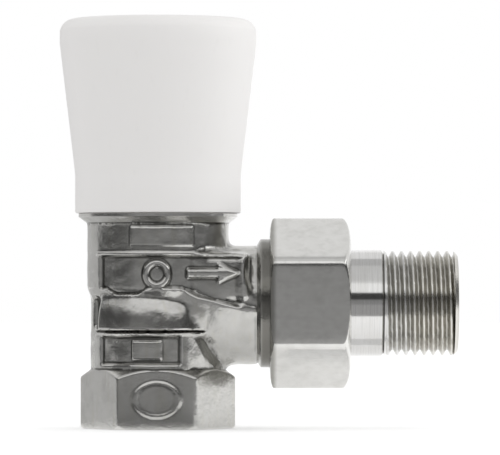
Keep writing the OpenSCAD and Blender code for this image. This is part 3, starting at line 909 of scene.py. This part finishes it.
def makeTail():
    s = tailSizes
    end, bore, plain, thread = s["end"], s["boreRadius"], s["plainRadius"], s["threadRadius"]
    low, high = s["threadStart"], end - 0.8
    tip, full, fullFrom = s["noseRadii"]
    collar, (left, right) = s["collarRadius"], s["collar"]
    wall = [(thread, low + (high - low) * i / 150) for i in range(151)]
    points = [
        (bore, s["noseStart"]), (tip, s["noseStart"]), (full, fullFrom), (full, left),
        (collar - 0.2, left), (collar, left + 0.2), (collar, right - 0.2), (collar - 0.2, right),
        (plain, right), (plain, low - 0.45), (plain - 0.6, low - 0.1), (thread - 0.6, low - 0.05)]
    points += wall + [
        (thread - 0.8, end - 0.1), (thread - 0.95, end), (bore + 0.9, end), (bore, end - 0.6),
        (bore, end - s["keyDepth"]), (bore, end - s["keyDepth"] - 0.4)]
    bm = lathe(tight(points), 120)
    cutThread(bm, thread, s["threadDepth"], low, high, 0.9)
    # the socket for the union key
    for v in bm.verts:
        r = hypot(v.co.x, v.co.y)
        if abs(r - bore) < 0.01 and v.co.z > end - s["keyDepth"] - 0.1:
            angle = (atan2(v.co.y, v.co.x) % (pi / 3)) - pi / 6
            drawIn(v, min(s["keyFlats"] / 2 / cos(angle), r))
    layAlongOutlet(bm, bodySizes["outletHeight"])
    return meshObject(bm, "tail")


settle(makeTail(), "tail_turned", "tail", "tailpiece", "turned_nickel", 24)


capBox = [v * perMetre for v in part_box("lockshield_cap")]
capSizes = {
    "low": capBox[0].z - 0.15,
    "top": capBox[1].z,
    "mouthRadius": 16.6,
    "topRadius": 19.75,
    "bandTop": 51.0,
    "shoulder": 77.5,
    "edgeRadius": 3.0,
    "wall": 1.7,
    "rings": ((57.6, 58.8), (60.5, 61.7)),    # low and high side of the rings inside
    "ringRadius": 14.55,
    "ribs": 8,
    "ribSize": (17.1, 2.6, 1.0),              # middle, width and thickness
}


def makeCap():
    s = capSizes
    mouth, low, top, wall, edge = s["mouthRadius"], s["low"], s["top"], s["wall"], s["edgeRadius"]
    shoulder, topRadius, bandTop = s["shoulder"], s["topRadius"], s["bandTop"]
    slope = (topRadius - mouth) / (shoulder - bandTop)

    def outside(z):
        return mouth + max(0.0, min(z, shoulder) - bandTop) * slope

    inner = edge - wall
    ceiling = top - wall - 0.1
    points = [(mouth - wall + 0.2, low), (mouth - 0.35, low), (mouth - 0.1, low + 0.1), (mouth, low + 0.35),
              (mouth, bandTop - 0.8), (mouth + 0.03, bandTop)]
    points += [(outside(z), z) for z in (54, 60, 66, 72, shoulder - 0.4)]
    points += arc((topRadius - edge, top - edge), edge, 12, 90, 12)
    points += [(0, top), (0, ceiling)]
    points += arc((topRadius - edge, ceiling - inner), inner, 90, 0, 4)
    for ringLow, ringHigh in s["rings"][::-1]:
        points += [(outside(ringHigh) - wall, ringHigh), (s["ringRadius"], ringHigh),
                   (s["ringRadius"], ringLow), (outside(ringLow) - wall, ringLow)]
    points += [(mouth - wall, bandTop), (mouth - wall, low + 0.2)]
    cap = meshObject(lathe(points, 144), "cap")
    # ribs inside, from the upper ring to the ceiling
    ribs = bmesh.new()
    ribLow, ribHigh = s["rings"][1][1] - 0.2, ceiling + 0.4
    middle, width, thickness = s["ribSize"]
    size = (width, thickness, ribHigh - ribLow)
    for i in range(s["ribs"]):
        addBlock(ribs, (middle, 0, (ribLow + ribHigh) / 2), size, 2 * pi * i / s["ribs"])
    room = [(0, ribLow - 1), (outside(ribLow) - wall / 2, ribLow - 1),
            (outside(shoulder) - wall / 2, shoulder), (topRadius - wall / 2, ceiling - 0.6),
            (topRadius - edge, ceiling + 0.5), (0, ceiling + 0.5)]
    inside = combine(meshObject(ribs, "ribs"), meshObject(lathe(room, 96), "room"), "INTERSECT")
    return combine(cap, inside, "UNION")


settle(makeCap(), "cap_moulding", "cap", "lockshield_cap", "white_plastic", 40)


innerFinishes = {
    "machined_brass": ("bonnet", "gland_nut", "spindle", "plug", "throttle_cone", "gland_washer"),
    "bright_steel": ("plug_clip", "plug_screw", "plug_washer"),
    "black_rubber": ("bonnet_o_ring", "spindle_o_rings", "tail_o_ring", "plug_seal", "wiper_ring"),
    "white_seal": ("gland_packing", "back_seat_washer"),
    "grey_plastic": ("cap_insert",),
}
for finishName, members in innerFinishes.items():
    for member in members:
        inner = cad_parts[member]
        inner.data.materials.clear()
        inner.data.materials.append(finishes[finishName])
print("inner pieces finished")


studio = {
    "cameraAt": (0.01845, -1.0, 0.028),
    "lookAt": (0.01845, 0.0, 0.0402),
    "span": 0.10025,           # width seen at the valve's axis
    "worldLevel": 0.86,
    "backdropLevel": 1.0,
    "floorLevel": 0.86,
    "floorGlow": 0.32,
    "screenRadius": 0.50,
    "frontScreen": (-110.0, 110.0, 0.235),    # start and end angle from the front, height
    "tailStops": [(0.0, 0.27), (0.38, 0.25), (0.42, 0.05), (0.92, 0.04), (1.0, 0.30)],
    "bodyStops": [(0.0, 0.27), (0.34, 0.26), (0.50, 0.11), (0.80, 0.13), (1.0, 0.45)],
    "sideScreens": {           # start and end angle, height, level
        "screen_left": (-166.0, -110.0, 0.36, 0.60),
        "screen_right": (110.0, 150.0, 0.36, 0.84),
    },
    "cards": {                 # left, right, near and far edge, level
        "card_front": (-0.5, 0.5, -0.052, -0.6, 0.36),
        "card_low": (-0.20, 0.009, -0.019, -0.052, 0.12),
        # the card under the tail is a painted shadow of the valve on the floor, seen only in reflections
        "card_shadow_under": (0.026, 0.064, -0.003, -0.010, 0.70),
        "card_left": (-0.5, -0.024, 0.25, -0.02, 0.62),
    },
    "cardHeight": 0.0003,
    "board": (-1.0, 1.0, 0.7, -0.5),          # left, right, far and near edge
    "boardHeight": 0.5,
    "boardStops": [(0.0, 0.86), (0.09, 0.66), (0.40, 0.62), (0.42, 0.50), (0.57, 0.52), (0.59, 0.84),
                   (1.0, 0.84)],
    "lampsAimAt": (0.015, 0, 0.04),
    "lamps": {                 # place, size and power
        "right": ((0.75, 0.05, 0.25), 0.6, 1.5),
        "above": ((0.0, -0.05, 0.9), 0.6, 0.2),
    },
}


def plainGlow(name, level):
    f = Finish(name)
    return f.close(f.glow(grey(level)))


def screenGlow(name, top):
    # changes with height: one way before the tail, softer before the body; darker at both ends
    f = Finish(name)
    level = f.between(f.axis(2), 0.0, top, "LINEAR")
    across = f.axis(0)
    before = f.between(across, 0.02, -0.02, "LINEAR")
    ends = f.between(across, -0.26, -0.42, "LINEAR") * 0.7 + f.between(across, 0.34, 0.46, "LINEAR") * 0.5
    tone = f.blend(before, f.ramp(level, studio["tailStops"]), f.ramp(level, studio["bodyStops"]))
    return f.close(f.glow(f.blend(ends, tone, grey(0.02))))


def boardGlow(name, near, far):
    f = Finish(name)
    level = f.between(f.axis(1), near, far, "LINEAR")
    return f.close(f.glow(f.ramp(level, studio["boardStops"])))


def hang(made, material):
    # a screen or card that is seen only in reflections
    made.data.materials.append(material)
    made.visible_camera = False
    made.visible_diffuse = False
    made.visible_transmission = False
    made.visible_shadow = False
    made.visible_volume_scatter = False


def standScreen(name, start, end, height, material):
    # an upright curved screen round the valve, angles from the front
    radius = studio["screenRadius"]
    bm = bmesh.new()
    foot = bm.verts.new((radius * sin(radians(start)), -radius * cos(radians(start)), 0.0005))
    bmesh.ops.spin(bm, geom=[foot], cent=(0, 0, 0), axis=(0, 0, 1), angle=radians(end - start), steps=48)
    raised = bmesh.ops.extrude_edge_only(bm, edges=bm.edges[:])["geom"]
    upper = [g for g in raised if isinstance(g, bmesh.types.BMVert)]
    bmesh.ops.translate(bm, vec=(0, 0, height), verts=upper)
    hang(meshObject(bm, name), material)


def layCard(name, left, right, near, far, height, material):
    # a flat card, given by its edges
    bm = bmesh.new()
    bmesh.ops.create_grid(bm, x_segments=1, y_segments=1, size=0.5)
    middle = Matrix.Translation(((left + right) / 2, (near + far) / 2, height))
    size = Matrix.Diagonal((right - left, near - far, 1, 1))
    bmesh.ops.transform(bm, matrix=middle @ size, verts=bm.verts)
    hang(meshObject(bm, name), material)


def layFloor():
    bm = bmesh.new()
    bmesh.ops.create_grid(bm, x_segments=1, y_segments=1, size=3.0)
    bmesh.ops.translate(bm, vec=(0, 0, -0.00005), verts=bm.verts)
    floor = meshObject(bm, "floor")
    f = Finish("floor_white")
    plain = f.add("ShaderNodeBsdfPrincipled", {}, {
        "Base Color": grey(studio["floorLevel"]), "Roughness": 0.9, "Specular IOR Level": 0.1}, "BSDF")
    seen = f.lightPath("Is Camera Ray", "Is Glossy Ray", "Is Transmission Ray")
    glow = f.glow(grey(1.0), seen * studio["floorGlow"])
    floor.data.materials.append(f.close(f.add("ShaderNodeAddShader", {}, {0: plain, 1: glow})))


def lightWorld():
    # white behind the valve and in its reflections, a plain level for light
    w = Finish("studio", bpy.data.worlds)
    seen = w.lightPath("Is Camera Ray", "Is Glossy Ray", "Is Transmission Ray")
    level = w.add("ShaderNodeBackground", {}, {"Color": grey(1.0), "Strength": studio["worldLevel"]})
    white = w.add("ShaderNodeBackground", {}, {"Color": grey(1.0), "Strength": studio["backdropLevel"]})
    both = w.add("ShaderNodeMixShader", {}, {0: seen, 1: level, 2: white})
    bpy.context.scene.world = w.close(both, "ShaderNodeOutputWorld")


def aim(name, data, place, target):
    holder = bpy.data.objects.new(name, data)
    bpy.context.scene.collection.objects.link(holder)
    holder.location = place
    holder.rotation_euler = (Vector(target) - Vector(place)).to_track_quat("-Z", "Y").to_euler()
    return holder


def buildStudio():
    scene = bpy.context.scene
    scene.view_settings.view_transform = "Standard"
    layFloor()
    start, end, top = studio["frontScreen"]
    standScreen("screen_front", start, end, top, screenGlow("screen_dark", top))
    for name, (start, end, height, level) in studio["sideScreens"].items():
        standScreen(name, start, end, height, plainGlow(name, level))
    for name, (left, right, near, far, level) in studio["cards"].items():
        layCard(name, left, right, near, far, studio["cardHeight"], plainGlow(name, level))
    left, right, far, near = studio["board"]
    layCard("board", left, right, far, near, studio["boardHeight"], boardGlow("board_grey", near, far))
    lightWorld()
    for name, (place, size, power) in studio["lamps"].items():
        lamp = bpy.data.lights.new(name, "AREA")
        lamp.shape = "SQUARE"
        lamp.size = size
        lamp.energy = power
        aim(name, lamp, place, studio["lampsAimAt"])
    # camera, level with the lower part of the valve and looking slightly up
    camera = aim("camera", bpy.data.cameras.new("camera"), studio["cameraAt"], studio["lookAt"])
    camera.data.sensor_width = 36.0
    camera.data.lens = camera.data.sensor_width * -studio["cameraAt"][1] / studio["span"]
    camera.data.clip_start = 0.01
    scene.camera = camera


buildStudio()
print("studio set")
